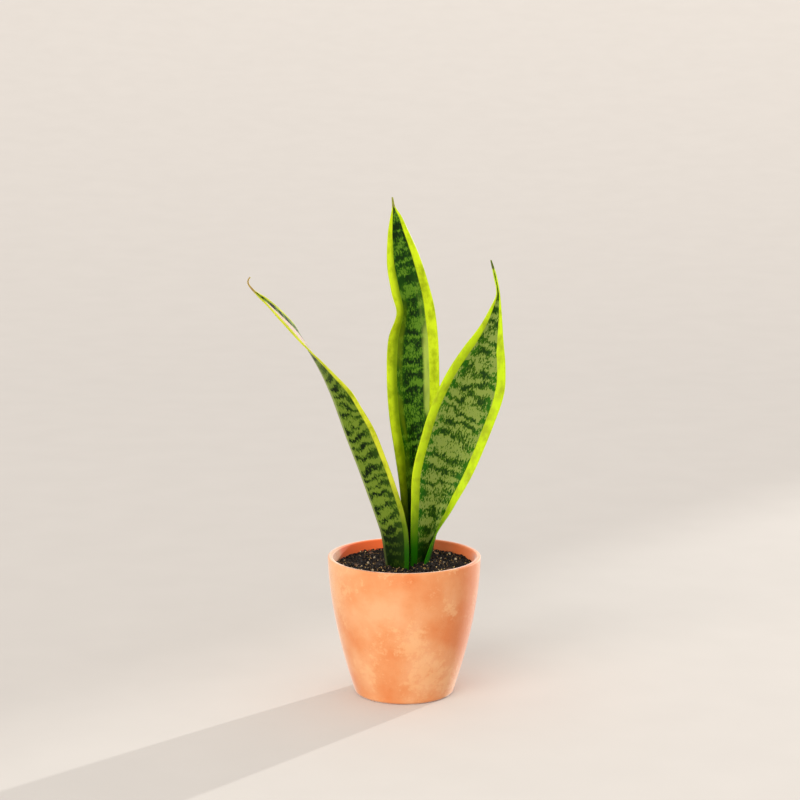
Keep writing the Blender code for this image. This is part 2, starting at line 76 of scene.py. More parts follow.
def add_node(tree, kind, inputs=None, stops=None, **settings):
    """Add a node. Settings are its own, and stops are a ramp's. Inputs are values, or the sockets that
    feed it, or nodes, which feed it from their first output in use."""
    made = tree.nodes.new(kind)
    for name, value in settings.items():
        setattr(made, name, value)
    for key, value in (inputs or {}).items():
        if isinstance(value, bpy.types.Node):
            value = next(out for out in value.outputs if out.enabled)
        if isinstance(value, bpy.types.NodeSocket):
            tree.links.new(value, made.inputs[key])
        else:
            made.inputs[key].default_value = value
    if stops:
        ramp = made.color_ramp
        while len(ramp.elements) > 1:
            ramp.elements.remove(ramp.elements[-1])
        ramp.elements[0].position, ramp.elements[0].color = stops[0]
        for position, colour in stops[1:]:
            ramp.elements.new(position).color = colour
    return made


def new_material(name, roughness, ior=1.5, **sockets):
    """A material with one Principled shader. Values that are the same all over are set on its own sockets."""
    material = bpy.data.materials.new(name)
    material.use_nodes = True
    shader = material.node_tree.nodes["Principled BSDF"]
    shader.inputs["Roughness"].default_value = roughness
    shader.inputs["IOR"].default_value = ior
    for socket, value in sockets.items():
        shader.inputs[socket.replace("_", " ")].default_value = value
    return material, material.node_tree, shader


def turn_rings(name, profile, sides, open_ends=False):
    """Extrude a circle from ring to ring of a (radius, z) profile, close both ends unless they stay open,
    and face the wall outwards."""
    radius, z = profile[0]
    bpy.ops.mesh.primitive_circle_add(vertices=sides, radius=radius, location=(0, 0, 0))
    thing = bpy.context.object
    thing.name = name
    bpy.ops.object.mode_set(mode='EDIT')
    bpy.ops.transform.translate(value=(0, 0, z))
    for next_radius, next_z in profile[1:]:
        bpy.ops.mesh.extrude_region_move(TRANSFORM_OT_translate={"value": (0, 0, next_z - z)})
        grow = next_radius / radius
        bpy.ops.transform.resize(value=(grow, grow, 1), center_override=(0, 0, next_z))
        radius, z = next_radius, next_z
    if not open_ends:
        bpy.ops.mesh.edge_face_add()
        bpy.ops.mesh.select_all(action='DESELECT')
        bpy.ops.mesh.select_non_manifold()
        bpy.ops.mesh.edge_face_add()
    bpy.ops.mesh.select_all(action='SELECT')
    bpy.ops.mesh.normals_make_consistent(inside=False)
    bpy.ops.object.mode_set(mode='OBJECT')
    bpy.ops.object.shade_smooth()
    bpy.ops.object.select_all(action='DESELECT')
    return thing


camera = bpy.data.objects.new("camera", bpy.data.cameras.new("camera"))
bpy.context.collection.objects.link(camera)
camera.data.lens = CAMERA_LENS
camera.location = CAMERA_PLACE
camera.rotation_euler = (CAMERA_TILT, 0, 0)
bpy.context.scene.camera = camera
bpy.context.scene.view_settings.view_transform = 'Standard'

for name, travel, strength, degrees, colour in LAMPS:
    bpy.ops.object.light_add(type='SUN', rotation=Vector(travel).to_track_quat('-Z', 'Y').to_euler())
    lamp = bpy.context.object
    lamp.name = name
    lamp.data.energy = strength
    lamp.data.angle = math.radians(degrees)
    lamp.data.color = linear(colour)[:3]

room = bpy.data.worlds.new("room")
room.use_nodes = True
room.node_tree.nodes["Background"].inputs["Color"].default_value = linear(ROOM_COLOUR)
room.node_tree.nodes["Background"].inputs["Strength"].default_value = ROOM_STRENGTH
bpy.context.scene.world = room

# Matt emulsion on board: the same pale tone all over, with a faint roller mottle 60 mm across.
emulsion, tree, shader = new_material("matt_emulsion", 0.9, 1.45)
spot = add_node(tree, "ShaderNodeTexCoord").outputs["Object"]
mottle = add_node(tree, "ShaderNodeTexNoise", {"Vector": spot, "Scale": 1 / (60 * MM), "Detail": 2})
tone = add_node(tree, "ShaderNodeValToRGB", {0: mottle},
                [(0.3, linear("C9C4BE")), (0.7, linear("CBC6C0"))])
tree.links.new(tone.outputs[0], shader.inputs["Base Color"])

bpy.ops.mesh.primitive_circle_add(vertices=FLOOR_SIDES, radius=FLOOR_RADIUS, fill_type='NGON')
floor = bpy.context.object
floor.name = "floor"
floor.data.materials.append(emulsion)
sweep = [(FLOOR_RADIUS + SWEEP_RADIUS * math.sin(a), SWEEP_RADIUS * (1 - math.cos(a)))
         for a in [math.radians(90) * i / SWEEP_STEPS for i in range(SWEEP_STEPS + 1)]]
backdrop = turn_rings("backdrop", sweep + [(FLOOR_RADIUS + SWEEP_RADIUS, BACKDROP_TOP)], FLOOR_SIDES,
                      open_ends=True)
backdrop.data.materials.append(emulsion)
backdrop.visible_shadow = False          # the lamps and the room's light pass it
backdrop.visible_diffuse = False
backdrop.visible_glossy = False
bpy.ops.mesh.primitive_plane_add(size=1, rotation=(math.radians(90), 0, 0), location=(
    FLAG_EDGE[0] - FLAG_SIZE[0] / 2, FLAG_EDGE[1], FLAG_SIZE[1] / 2))
flag = bpy.context.object
flag.name = "flag"
flag.scale = (*FLAG_SIZE, 1)
flag.data.materials.append(emulsion)
flag.visible_camera = flag.visible_diffuse = flag.visible_glossy = False
bpy.ops.object.select_all(action='DESELECT')


# ---- Pot: a thin, bellied flowerpot of unglazed terracotta, thrown on a wheel and fired, with
# three drain holes cut through its floor. Lime bloom marks the outside. Inside, the back of the wall
# above the soil is painted a deep red-orange: painted shade, warmed as if by light bounced round the pot.
POT_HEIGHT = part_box("pot")[1].z
POT_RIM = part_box("pot")[1].x
POT_FOOT = 38.5 * MM
POT_BELLY = 1.72
POT_WALL = 4 * MM
POT_BASE = 5 * MM
LIP_ROUND = 1.3 * MM
FOOT_ROUND = 3 * MM
FLOOR_FILLET = 7 * MM
DRAIN_RADIUS = 5 * MM
DRAIN_RING = 18 * MM
DRAIN_BEARINGS = (94, 214, 334)
DRAIN_SIDES = 40
POT_SIDES = 144
SIDE_STEPS = 26
INNER_SHADE_RISE = (70, 100)          # bearings where the painted shade begins and is full, 0 to the right and 90 behind
INNER_SHADE_FALL = (158, 152)         # bearings where it has ended and is still full
LEAST_INNER_SHADE = 0.45              # its share up to where it begins
INNER_FACE = (0.7 * POT_WALL, 0.95 * POT_WALL)       # depths in the wall where its inner face begins


def way(value, start, end):
    """How far a value has come from start to end, from 0 to 1."""
    return min(max((value - start) / (end - start), 0), 1)


def pot_radius(z):
    """The outside's radius at a height: widest at the rim, with a belly below it."""
    return POT_FOOT + (POT_RIM - POT_FOOT) * (1 - (1 - way(z, 0, POT_HEIGHT)) ** POT_BELLY)


def arc(x, z, radius, start, end, count):
    """Points of a profile on an arc round (x, z), its ends in degrees."""
    turns = [math.radians(start + (end - start) * i / (count - 1)) for i in range(count)]
    return [(x + radius * math.cos(a), z + radius * math.sin(a)) for a in turns]


foot_x = pot_radius(FOOT_ROUND) - FOOT_ROUND
lip_z = POT_HEIGHT - LIP_ROUND
fillet_z = POT_BASE + FLOOR_FILLET
outside = [(pot_radius(z), z) for z in
           [FOOT_ROUND * 1.2 + (lip_z - FOOT_ROUND * 1.2) * i / SIDE_STEPS for i in range(1, SIDE_STEPS)]]
lip = (arc(POT_RIM - LIP_ROUND, lip_z, LIP_ROUND, 0, 90, 6)
       + arc(POT_RIM - POT_WALL + LIP_ROUND, lip_z, LIP_ROUND, 90, 180, 6))
inside = [(pot_radius(z) - POT_WALL, z) for z in
          [lip_z + (fillet_z - lip_z) * i / SIDE_STEPS for i in range(1, SIDE_STEPS)]]
fillet = arc(pot_radius(fillet_z) - POT_WALL - FLOOR_FILLET, fillet_z, FLOOR_FILLET, 0, -90, 7)
pot = turn_rings("terracotta_pot", [(DRAIN_RADIUS, 0)] + arc(foot_x, FOOT_ROUND, FOOT_ROUND, -90, 0, 6)
                 + outside + lip + inside + fillet + [(DRAIN_RADIUS, POT_BASE)], POT_SIDES)
for bearing in DRAIN_BEARINGS:
    turn = math.radians(bearing)
    bpy.ops.mesh.primitive_cylinder_add(
        vertices=DRAIN_SIDES, radius=DRAIN_RADIUS, depth=3 * POT_BASE,
        location=(DRAIN_RING * math.cos(turn), DRAIN_RING * math.sin(turn), POT_BASE / 2))
    drill = bpy.context.object
    bpy.ops.object.select_all(action='DESELECT')
    bpy.context.view_layer.objects.active = pot
    cut = pot.modifiers.new("drain", 'BOOLEAN')
    cut.object = drill
    bpy.ops.object.modifier_apply(modifier=cut.name)
    bpy.data.objects.remove(drill)
pot.select_set(True)
bpy.ops.object.shade_smooth_by_angle(angle=math.radians(40))
bpy.ops.object.select_all(action='DESELECT')

# Painted shade: the share of the deep red-orange on the inner face, full at the back-left, weaker at the
# back-right, none at the left and front.
painted_inner_shade = pot.data.attributes.new("painted_inner_shade", 'FLOAT', 'POINT')
for i, corner in enumerate(pot.data.vertices):
    depth = pot_radius(corner.co.z) - corner.co.xy.length
    bearing = math.degrees(math.atan2(corner.co.y, corner.co.x)) % 360
    inner_shade_share = way(bearing, *INNER_SHADE_FALL) * (LEAST_INNER_SHADE + (1 - LEAST_INNER_SHADE) * way(bearing, *INNER_SHADE_RISE))
    painted_inner_shade.data[i].value = way(depth, *INNER_FACE) * inner_shade_share * (corner.co.z > POT_BASE / 2)

# Terracotta, low-fired red earthenware, unglazed: matt and slightly chalky. Its body colour
# drifts over 40 mm and is painted darker and redder towards the right as painted shade, lime bloom lies
# on it in broken, yellowish flecks of 6 mm gathered in patches 34 mm across, and grog in the clay gives
# specks and pits of about 1.2 mm.
terracotta, tree, shader = new_material("terracotta", 0.6, 1.5, Sheen_Weight=0.8, Sheen_Roughness=0.3)
spot = add_node(tree, "ShaderNodeTexCoord").outputs["Object"]
drift = add_node(tree, "ShaderNodeTexNoise", {"Vector": spot, "Scale": 1 / (40 * MM), "Detail": 4})
# Painted shade: the tone is pushed darker and redder towards the right, the side away from the soft lamp.
rightward = add_node(tree, "ShaderNodeSeparateXYZ", {0: spot}).outputs["X"]
drift_and_side_shade = add_node(tree, "ShaderNodeMath", {0: rightward, 1: -1.6, 2: drift}, operation='MULTIPLY_ADD')
body = add_node(tree, "ShaderNodeValToRGB", {0: drift_and_side_shade},
                [(0.34, linear("D2783C")), (0.5, linear("D88E58")), (0.66, linear("DEA070"))])
patch = add_node(tree, "ShaderNodeTexNoise", {"Vector": spot, "Scale": 1 / (34 * MM), "Detail": 1})
bloom = add_node(tree, "ShaderNodeTexNoise", {"Vector": spot, "Scale": 1 / (6 * MM), "Detail": 8,
                                              "Roughness": 0.8})
gathered = add_node(tree, "ShaderNodeMath", {0: patch, 1: 0.7, 2: bloom},
                    operation='MULTIPLY_ADD')
bloom_edge = add_node(tree, "ShaderNodeMapRange", {"Value": gathered, "From Min": 0.88,
                                                   "From Max": 0.97, "To Max": 0.5})
bloomed = add_node(tree, "ShaderNodeMix", {"Factor": bloom_edge, "A": body,
                                           "B": linear("E4B07C")}, data_type='RGBA')
grog = add_node(tree, "ShaderNodeTexNoise", {"Vector": spot, "Scale": 1 / (1.2 * MM), "Detail": 2})
grog_dark = add_node(tree, "ShaderNodeMapRange", {"Value": grog, "From Min": 0.3, "From Max": 0.42,
                                                  "To Min": 0.94, "To Max": 1})
speckled = add_node(tree, "ShaderNodeMix", {"Factor": 1.0, "A": bloomed, "B": grog_dark},
                    data_type='RGBA', blend_type='MULTIPLY')
# Painted shade: the inner face takes this deep red-orange as far as the attribute says.
inner_shade_tint = add_node(tree, "ShaderNodeAttribute", attribute_name="painted_inner_shade").outputs["Fac"]
inner = add_node(tree, "ShaderNodeMix", {"Factor": inner_shade_tint, "A": speckled, "B": linear("FF7034")},
                 data_type='RGBA')
pits = add_node(tree, "ShaderNodeBump", {"Strength": 0.25, "Distance": 0.25 * MM, "Height": grog})
swirl = add_node(tree, "ShaderNodeBump", {"Strength": 0.3, "Distance": 0.8 * MM, "Height": bloom,
                                          "Normal": pits})
tree.links.new(inner.outputs[2], shader.inputs["Base Color"])
tree.links.new(swirl.outputs[0], shader.inputs["Normal"])
pot.data.materials.append(terracotta)
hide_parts("pot")
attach(pot, "root")


# ---- Soil: a body of dark peat compost that fills the pot to 8.5 mm below its lip. Its crumbs, of
# 0.7 to 3.6 mm, lie loose on top, with pale mineral specks, coir fibres and shreds of bark.
SOIL_LEVEL = POT_HEIGHT - 8.5 * MM
SOIL_WAVE = 1.4 * MM
SOIL_WAVE_LENGTH = 21 * MM
FIT_GAP = 0.3 * MM
SOIL_SIDES = 160
SOIL_SIDE_STEPS = 10
SOIL_RINGS = 52
SOIL_START = 2 * MM                     # its first ring underneath, which one face closes
SOIL_LUMPS = (                          # height, width and a shift of the noise
    (1.6 * MM, 8 * MM, Vector()),
    (0.8 * MM, 2.4 * MM, Vector((3, 1, 7))))
STREWN_SHARE = 0.94                     # of the soil's area, the rest being next to the wall
CRUMB_COUNT = 2600
CRUMB_SIZES = (0.7, 3.6, 1.3)           # least, most and commonest, in millimetres
SPECK_COUNT = 460
SPECK_SIZES = (0.4, 1.4, 0.6)
FIBRE_COUNT = 90
FIBRE_RADIUS = 0.2 * MM
FIBRE_HALF_LENGTHS = (2, 5.5)           # in millimetres
FIBRE_HEIGHTS = (0.8, 1.6)              # above the soil, in millimetres
FIBRE_SPANS = 6


def soil_height(x, y):
    """The soil's top: low, long waves, the same as its solid's."""
    a, b = x / SOIL_WAVE_LENGTH, y / SOIL_WAVE_LENGTH
    wave = math.sin(1.3 * a + 0.6) * math.cos(1.1 * b - 0.4) + 0.5 * math.sin(2.3 * b + 1.7 * a)
    return SOIL_LEVEL + SOIL_WAVE * 0.6 * wave


soil_edge = pot_radius(SOIL_LEVEL) - POT_WALL - FIT_GAP
soil_side = [(pot_radius(z) - POT_WALL - FIT_GAP, z) for z in
             [fillet_z + (SOIL_LEVEL - fillet_z) * i / SOIL_SIDE_STEPS for i in range(1, SOIL_SIDE_STEPS)]]
soil_foot = arc(pot_radius(fillet_z) - POT_WALL - FLOOR_FILLET, fillet_z, FLOOR_FILLET - FIT_GAP, -90, 0, 5)
soil_top = [(soil_edge * (1 - i / SOIL_RINGS), SOIL_LEVEL) for i in range(SOIL_RINGS)]
soil = turn_rings("compost", [(SOIL_START, POT_BASE + FIT_GAP)] + soil_foot + soil_side + soil_top,
                  SOIL_SIDES)
for corner in soil.data.vertices:
    if corner.co.z > SOIL_LEVEL - MM / 100:
        lumps = sum(height * noise.noise(corner.co / width + shift) for height, width, shift in SOIL_LUMPS)
        corner.co.z = soil_height(corner.co.x, corner.co.y) + lumps

# Peat compost: near-black brown, matt, damp in places. Its crumbs vary in tone every 2 mm.
compost, tree, shader = new_material("peat_compost", 0.9, 1.4)
spot = add_node(tree, "ShaderNodeTexCoord").outputs["Object"]
crumb_tone = add_node(tree, "ShaderNodeTexNoise", {"Vector": spot, "Scale": 1 / (2 * MM), "Detail": 3})
earth = add_node(tree, "ShaderNodeValToRGB", {0: crumb_tone},
                 [(0.36, linear("050302")), (0.5, linear("0D0805")), (0.6, linear("20160E")),
                  (0.72, linear("5A4228"))])
crumb_bump = add_node(tree, "ShaderNodeBump", {"Strength": 0.8, "Distance": 0.8 * MM, "Height": crumb_tone})
tree.links.new(earth.outputs[0], shader.inputs["Base Color"])
tree.links.new(crumb_bump.outputs[0], shader.inputs["Normal"])
soil.data.materials.append(compost)
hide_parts("soil")
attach(soil, "root")


def lump(seed):
    """A rough lump of 20 faces, a millimetre across, knocked out of round."""
    bpy.ops.mesh.primitive_ico_sphere_add(subdivisions=1, radius=MM / 2)
    shape = bpy.context.object
    for corner in shape.data.vertices:
        corner.co *= 1 + 0.5 * noise.noise(corner.co / MM * 1.7 + Vector((seed, 0, 0)))
    return shape


def soil_spot(draw):
    """A random place on the soil, evenly spread, a little in from its edge."""
    reach = math.sqrt(draw.uniform(0, STREWN_SHARE)) * soil_edge
    turn = draw.uniform(0, 2 * math.pi)
    x, y = reach * math.cos(turn), reach * math.sin(turn)
    return Vector((x, y, soil_height(x, y)))


def tumbled(draw, place, scale):
    """A matrix that scales a shape, turns it any way and puts it in place."""
    turn = draw.uniform(0, 6.283)           # any part of a full turn
    axis = Vector([draw.uniform(-1, 1) for _ in range(3)]).normalized()
    return Matrix.Translation(place) @ Matrix.Rotation(turn, 4, axis) @ Matrix.Diagonal((*scale, 1))


def strewn_lumps(name, draw, count, sizes, lift, rise, seeds):
    """One piece made of copies of a few lumps, strewn on the soil. Their middles lie at lift, and rise
    times their size, above it. Lengths are in millimetres."""
    places = []
    for _ in range(count):
        size = draw.triangular(*sizes)
        place = soil_spot(draw) + Vector((0, 0, (lift + size * rise) * MM))
        places.append((draw.randrange(len(seeds)),
                       tumbled(draw, place, [size * draw.uniform(0.7, 1.2) for _ in range(3)])))
    shapes = [lump(seed) for seed in seeds]
    corners, faces = [], []
    for pick, matrix in places:
        first = len(corners)
        corners += [matrix @ corner.co for corner in shapes[pick].data.vertices]
        faces += [[first + k for k in face.vertices] for face in shapes[pick].data.polygons]
    for shape in shapes:
        bpy.data.objects.remove(shape)
    mesh = bpy.data.meshes.new(name)
    mesh.from_pydata(corners, [], faces)
    thing = bpy.data.objects.new(name, mesh)
    bpy.context.collection.objects.link(thing)
    return thing


draw = random.Random(11)
crumbs = strewn_lumps("soil_crumbs", draw, CRUMB_COUNT, CRUMB_SIZES, 0, 0.3, (0, 5, 10))
crumbs.data.materials.append(compost)
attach(crumbs, "root")

# Perlite and mineral dust, 0.4 to 1.4 mm: chalky, tan to pale buff.
pale_speck, tree, shader = new_material("mineral_speck", 0.8, 1.5)
spot = add_node(tree, "ShaderNodeTexCoord").outputs["Object"]
speck_tone = add_node(tree, "ShaderNodeTexNoise", {"Vector": spot, "Scale": 1 / (3 * MM), "Detail": 1})
buff = add_node(tree, "ShaderNodeValToRGB", {0: speck_tone},
                [(0.3, linear("6A5024")), (0.48, linear("B08A48")), (0.65, linear("D8BE88"))])
tree.links.new(buff.outputs[0], shader.inputs["Base Color"])
specks = strewn_lumps("mineral_specks", draw, SPECK_COUNT, SPECK_SIZES, 1, 0.2, (31, 36))
specks.data.materials.append(pale_speck)
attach(specks, "root")

# Coir fibres and shreds of bark: thin, stiff, brown strands 4 to 11 mm long.
fibre, tree, shader = new_material("coir_fibre", 0.75, 1.45)
spot = add_node(tree, "ShaderNodeTexCoord").outputs["Object"]
strand_tone = add_node(tree, "ShaderNodeTexNoise", {"Vector": spot, "Scale": 1 / (6 * MM), "Detail": 2})
brown = add_node(tree, "ShaderNodeValToRGB", {0: strand_tone},
                 [(0.35, linear("2A1A0F")), (0.5, linear("4E341E")), (0.68, linear("8A6A42"))])
tree.links.new(brown.outputs[0], shader.inputs["Base Color"])
strands = bpy.data.curves.new("coir_fibres", 'CURVE')
strands.dimensions = '3D'
strands.bevel_depth = FIBRE_RADIUS
strands.bevel_resolution = 0
strands.use_fill_caps = True
for _ in range(FIBRE_COUNT):
    middle = soil_spot(draw) + Vector((0, 0, draw.uniform(*FIBRE_HEIGHTS) * MM))
    bearing, half = draw.uniform(0, math.pi), draw.uniform(*FIBRE_HALF_LENGTHS) * MM
    along = Vector((math.cos(bearing), math.sin(bearing), draw.uniform(-0.06, 0.06)))
    bow = Vector((-along.y, along.x, draw.uniform(0, 0.6))) * half * draw.uniform(-0.35, 0.35)
    line = strands.splines.new('POLY')
    line.points.add(FIBRE_SPANS)
    for k, point in enumerate(line.points):
        t = 2 * k / FIBRE_SPANS - 1
        place = middle + along * half * t + bow * (1 - t * t)
        if place.xy.length > soil_edge - MM:
            place.xy *= (soil_edge - MM) / place.xy.length
        point.co = (*place, 1)
        point.radius = draw.uniform(0.6, 1.3) * (1 - 0.5 * abs(t))
fibres = bpy.data.objects.new("coir_fibres", strands)
bpy.context.collection.objects.link(fibres)
bpy.context.view_layer.objects.active = fibres
fibres.select_set(True)
bpy.ops.object.convert(target='MESH')
bpy.ops.object.select_all(action='DESELECT')
fibres = bpy.context.view_layer.objects.active
fibres.data.materials.append(fibre)
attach(fibres, "root")


# ---- Loose grit, bark chips and splinters: perlite grains that were mixed into the compost, and
# bits of broken bark and wood. Each lies where its solid does: the grit is rounded and the bark chips
# frayed from their solids, and the splinters are the solids themselves.
def worn_copy(node, name, rounding, lumpiness, grain):
    """A merged copy of a CAD solid, divided finely, by a rule that rounds it or doesn't, and roughened
    with lumps of a grain's size."""
    thing = bpy.data.objects.new(name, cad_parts[node].data.copy())
    bpy.context.collection.objects.link(thing)
    bpy.context.view_layer.objects.active = thing
    thing.select_set(True)
    bpy.ops.object.mode_set(mode='EDIT')
    bpy.ops.mesh.select_all(action='SELECT')
    bpy.ops.mesh.remove_doubles(threshold=MM / 100)
    bpy.ops.mesh.normals_make_consistent(inside=False)
    bpy.ops.object.mode_set(mode='OBJECT')
    smooth = thing.modifiers.new("round", 'SUBSURF')
    smooth.levels = smooth.render_levels = 3
    smooth.subdivision_type = rounding
    bpy.ops.object.modifier_apply(modifier=smooth.name)
    centre = sum((corner.co for corner in thing.data.vertices), Vector()) / len(thing.data.vertices)
    for corner in thing.data.vertices:
        out = (corner.co - centre).normalized()
        corner.co += out * lumpiness * noise.noise(corner.co / grain)
    bpy.ops.object.shade_smooth()
    bpy.ops.object.select_all(action='DESELECT')
    thing.data.materials.clear()
    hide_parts(node)
    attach(thing, "root")
    return thing


# Perlite: white volcanic glass puffed by heat, so it is chalky, very light and full of pores of
# about 0.5 mm, with compost dust in its hollows.
perlite, tree, shader = new_material("perlite", 0.85, 1.45)
spot = add_node(tree, "ShaderNodeTexCoord").outputs["Object"]
pores = add_node(tree, "ShaderNodeTexVoronoi", {"Vector": spot, "Scale": 1 / (0.5 * MM)})
chalk = add_node(tree, "ShaderNodeValToRGB", {0: pores},
                 [(0.0, linear("6A5A40")), (0.35, linear("948468")), (0.8, linear("B8AA8E"))])
pore_bump = add_node(tree, "ShaderNodeBump", {"Strength": 0.5, "Distance": 0.2 * MM, "Height": pores})
tree.links.new(chalk.outputs[0], shader.inputs["Base Color"])
tree.links.new(pore_bump.outputs[0], shader.inputs["Normal"])
for node in sorted(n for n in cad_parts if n.startswith("grit")):
    grain = worn_copy(node, "perlite_" + node, 'CATMULL_CLARK', 0.35 * MM, 0.8 * MM)
    grain.data.materials.append(perlite)

# Pine bark: dry, rough, red-brown layers about 0.5 mm thick that show as lighter and darker bands.
bark, tree, shader = new_material("pine_bark", 0.88, 1.45)
spot = add_node(tree, "ShaderNodeTexCoord").outputs["Object"]
flattened = add_node(tree, "ShaderNodeMapping", {"Vector": spot,
                                                 "Scale": (1 / (2.5 * MM), 1 / (2.5 * MM), 1 / (0.5 * MM))})
layers = add_node(tree, "ShaderNodeTexNoise", {"Vector": flattened, "Scale": 1.0, "Detail": 4})
rust = add_node(tree, "ShaderNodeValToRGB", {0: layers},
                [(0.3, linear("2B1A10")), (0.5, linear("573721")), (0.7, linear("8A623D"))])
layer_bump = add_node(tree, "ShaderNodeBump", {"Strength": 0.7, "Distance": 0.4 * MM, "Height": layers})
tree.links.new(rust.outputs[0], shader.inputs["Base Color"])
tree.links.new(layer_bump.outputs[0], shader.inputs["Normal"])
for node in sorted(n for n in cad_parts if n.startswith("bark")):
    chip = worn_copy(node, "pine_" + node, 'SIMPLE', 0.5 * MM, 2.5 * MM)
    chip.data.materials.append(bark)

# Split softwood: pale, straight-grained and fibrous, weathered brown in streaks 0.4 mm wide.
split_wood, tree, shader = new_material("split_wood", 0.75, 1.5)
spot = add_node(tree, "ShaderNodeTexCoord").outputs["Object"]
drawn_out = add_node(tree, "ShaderNodeMapping", {"Vector": spot, "Rotation": (0, 0, math.radians(-118)),
                                                 "Scale": (150, 1 / (0.4 * MM), 1 / (0.4 * MM))})
grain = add_node(tree, "ShaderNodeTexNoise", {"Vector": drawn_out, "Scale": 1.0, "Detail": 3})
straw = add_node(tree, "ShaderNodeValToRGB", {0: grain},
                 [(0.3, linear("6A4C2E")), (0.5, linear("94724A")), (0.7, linear("BBA078"))])
grain_bump = add_node(tree, "ShaderNodeBump", {"Strength": 0.5, "Distance": 0.2 * MM, "Height": grain})
tree.links.new(straw.outputs[0], shader.inputs["Base Color"])
tree.links.new(grain_bump.outputs[0], shader.inputs["Normal"])
for node in ("splinter_1", "splinter_2"):
    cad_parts[node].data.materials.clear()
    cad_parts[node].data.materials.append(split_wood)


# ---- Rhizome and roots: a fleshy orange rod, ringed by old leaf scars, that the leaves grow from,
# and pale roots under it. They lie in the soil, out of sight.
def plant_skin(name, codes, patch, roughness):
    """A fibrous living skin in three tones, its patches stretched round the piece, matt to waxy."""
    material, tree, shader = new_material(name, roughness, 1.42)
    spot = add_node(tree, "ShaderNodeTexCoord").outputs["Object"]
    patches = add_node(tree, "ShaderNodeTexNoise", {"Vector": spot, "Scale": 1 / patch, "Detail": 5})
    tones = add_node(tree, "ShaderNodeValToRGB", {0: patches},
                     [(0.35, linear(codes[0])), (0.5, linear(codes[1])), (0.65, linear(codes[2]))])
    wrinkles = add_node(tree, "ShaderNodeBump", {"Strength": 0.5, "Distance": patch / 8,
                                                 "Height": patches})
    tree.links.new(tones.outputs[0], shader.inputs["Base Color"])
    tree.links.new(wrinkles.outputs[0], shader.inputs["Normal"])
    return material


rhizome_skin = plant_skin("rhizome_skin", ("A8622E", "CF8A4A", "E3B27C"), 6 * MM, 0.6)
root_skin = plant_skin("root_skin", ("9A744A", "C4A070", "DCC7A0"), 2.5 * MM, 0.75)
for node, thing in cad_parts.items():
    if node == "rhizome" or node.startswith("root"):
        thing.data.materials.clear()
        thing.data.materials.append(rhizome_skin if node == "rhizome" else root_skin)


# ---- Leaves: three stiff, succulent blades that grow from the rhizome, folded along their keels, up
# to 55 mm wide laid flat, 3.4 mm thick at the keel and 1 mm at the margin. The two margins are yellow,
# without green tissue, and thin enough to glow with the lamp behind them.
LEAF_SEAT = -26                # where a leaf sits on the rhizome, in millimetres below the soil
ROW_STEP = 1.7                 # between rows along the leaf, in millimetres
HALF_SPANS = 15                # quads from the keel to a margin
LEAF_THICKNESS = 3.4           # at the keel, in millimetres
FULL_HALF_WIDTH = 25           # half width that has the whole thickness
THINNING = 0.8                 # power by which a narrower half is thinner
MARGIN_THICKNESS = 1.0
MARGIN_BULGE = 0.35            # how far a margin stands out, as a share of its thickness
KEEL_SOFTNESS = 0.35           # 0 is a sharp keel
LEAST_FOLD = 0.55              # the sine of half the keel's angle, below which the keel gets no thicker
MARKS = ("across", "from_margin", "half_width", "along", "from_tip", "face")

